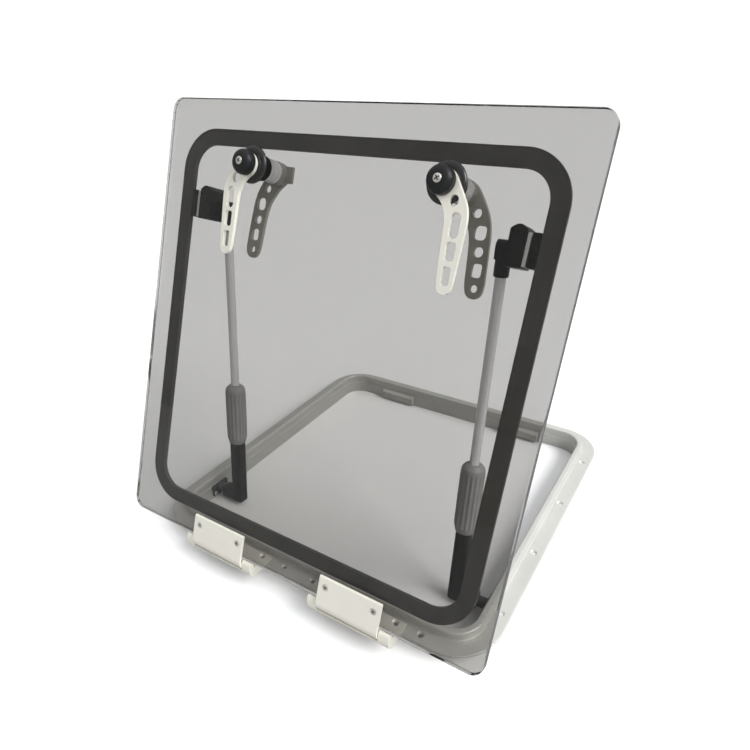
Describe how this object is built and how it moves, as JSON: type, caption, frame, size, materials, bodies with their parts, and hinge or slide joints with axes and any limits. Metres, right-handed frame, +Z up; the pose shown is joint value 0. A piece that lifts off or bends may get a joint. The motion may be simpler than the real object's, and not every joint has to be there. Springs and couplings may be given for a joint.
{
  "type": "deck hatch",
  "caption": "Square deck hatch with a flush smoked acrylic lid on leaf hinges, turning lever handles and telescopic twist-lock stays.",
  "frame": {"origin": "On the underside of the flange, midway along the hinge side, where the frame rests on the deck.", "axes": "+X along the hinge line to the right as seen from the hinge side, +Y from the hinge side to the handle side, +Z up out of the deck."},
  "size_m": [0.524, 0.5409, 0.5501],
  "materials": {
    "frame": "pale grey-cream powder coat, satin",
    "cream": "cream paint, semi-gloss",
    "acrylic": "smoked clear acrylic, polished",
    "ring": "black, matt",
    "black": "black moulding",
    "knob": "black, semi-gloss",
    "steel": "stainless",
    "silver": "satin, turned",
    "grey": "grey, matt",
    "inner": "cream paint, semi-gloss",
    "fitting": "black moulding",
    "sleeve": "grey ribbed moulding",
    "tube": "polished",
    "bracket": "dark grey, satin"
  },
  "bodies": {
    "base": {"base_frame": "frame", "hinge_base_left": "cream", "hinge_pin_left": "steel", "keeper_left": "frame", "keeper_screw_left_1": "steel", "keeper_screw_left_2": "steel", "foot_bracket_left": "bracket", "foot_pin_left": "steel", "foot_screw_left_1": "steel", "foot_screw_left_2": "steel", "hinge_base_right": "cream", "hinge_pin_right": "steel", "keeper_right": "frame", "keeper_screw_right_1": "steel", "keeper_screw_right_2": "steel", "foot_bracket_right": "bracket", "foot_pin_right": "steel", "foot_screw_right_1": "steel", "foot_screw_right_2": "steel"},
    "lid": {"lid_panel": "acrylic", "lid_ring": "ring", "hinge_leaf_left": "cream", "leaf_screw_left_1": "steel", "leaf_screw_left_2": "steel", "upper_bracket_left": "black", "upper_pin_left": "steel", "handle_disc_left": "black", "handle_washer_left": "black", "handle_bush_left": "silver", "hinge_leaf_right": "cream", "leaf_screw_right_1": "steel", "leaf_screw_right_2": "steel", "upper_bracket_right": "black", "upper_pin_right": "steel", "handle_disc_right": "black", "handle_washer_right": "black", "handle_bush_right": "silver"},
    "handle_left": {"handle_lever_left": "cream", "knob_left": "knob", "knob_screw_left": "steel", "spindle_left": "silver", "handle_hub_left": "grey", "inner_lever_left": "inner"},
    "stay_left": {"stay_fitting_left": "fitting"},
    "sleeve_left": {"stay_sleeve_left": "sleeve"},
    "rod_left": {"stay_tube_left": "tube", "stay_end_left": "fitting"},
    "handle_right": {"handle_lever_right": "cream", "knob_right": "knob", "knob_screw_right": "steel", "spindle_right": "silver", "handle_hub_right": "grey", "inner_lever_right": "inner"},
    "stay_right": {"stay_fitting_right": "fitting"},
    "sleeve_right": {"stay_sleeve_right": "sleeve"},
    "rod_right": {"stay_tube_right": "tube", "stay_end_right": "fitting"}
  },
  "joints": [
    {"name": "lid_hinge", "type": "hinge", "parent": "base", "child": "lid", "pos_m": [0, -0.03265, 0.0209], "axis": [1, 0, 0], "range_deg": [-68.42, 0]},
    {"name": "handle_left_turn", "type": "hinge", "parent": "lid", "child": "handle_left", "pos_m": [-0.1215, 0.13167, 0.46489], "axis": [0, -0.9299, 0.3678], "range_deg": [0, 90]},
    {"name": "stay_left_swing", "type": "hinge", "parent": "base", "child": "stay_left", "pos_m": [-0.1805, 0.08395, -0.0054], "axis": [1, 0, 0], "range_deg": [-80.86, 0]},
    {"name": "stay_left_slide", "type": "slide", "parent": "stay_left", "child": "rod_left", "axis": [0, 0.1426, 0.9898], "range_m": [-0.10949, 0]},
    {"name": "sleeve_left_twist", "type": "hinge", "parent": "stay_left", "child": "sleeve_left", "pos_m": [-0.1805, 0.10249, 0.12327], "axis": [0, 0.1426, 0.9898], "range_deg": [0, 90]},
    {"name": "handle_right_turn", "type": "hinge", "parent": "lid", "child": "handle_right", "pos_m": [0.1215, 0.13167, 0.46489], "axis": [0, 0.9299, -0.3678], "range_deg": [0, 90]},
    {"name": "stay_right_swing", "type": "hinge", "parent": "base", "child": "stay_right", "pos_m": [0.1805, 0.08395, -0.0054], "axis": [1, 0, 0], "range_deg": [-80.86, 0]},
    {"name": "stay_right_slide", "type": "slide", "parent": "stay_right", "child": "rod_right", "axis": [0, 0.1426, 0.9898], "range_m": [-0.10949, 0]},
    {"name": "sleeve_right_twist", "type": "hinge", "parent": "stay_right", "child": "sleeve_right", "pos_m": [0.1805, 0.10249, 0.12327], "axis": [0, 0.1426, 0.9898], "range_deg": [0, 90]}
  ],
  "couplings": [
    {"joint": "stay_left_swing", "follows": "lid_hinge", "ratio": 1.1818},
    {"joint": "stay_left_slide", "follows": "lid_hinge", "m_per_rad": 0.09169},
    {"joint": "stay_right_swing", "follows": "lid_hinge", "ratio": 1.1818},
    {"joint": "stay_right_slide", "follows": "lid_hinge", "m_per_rad": 0.09169}
  ]
}
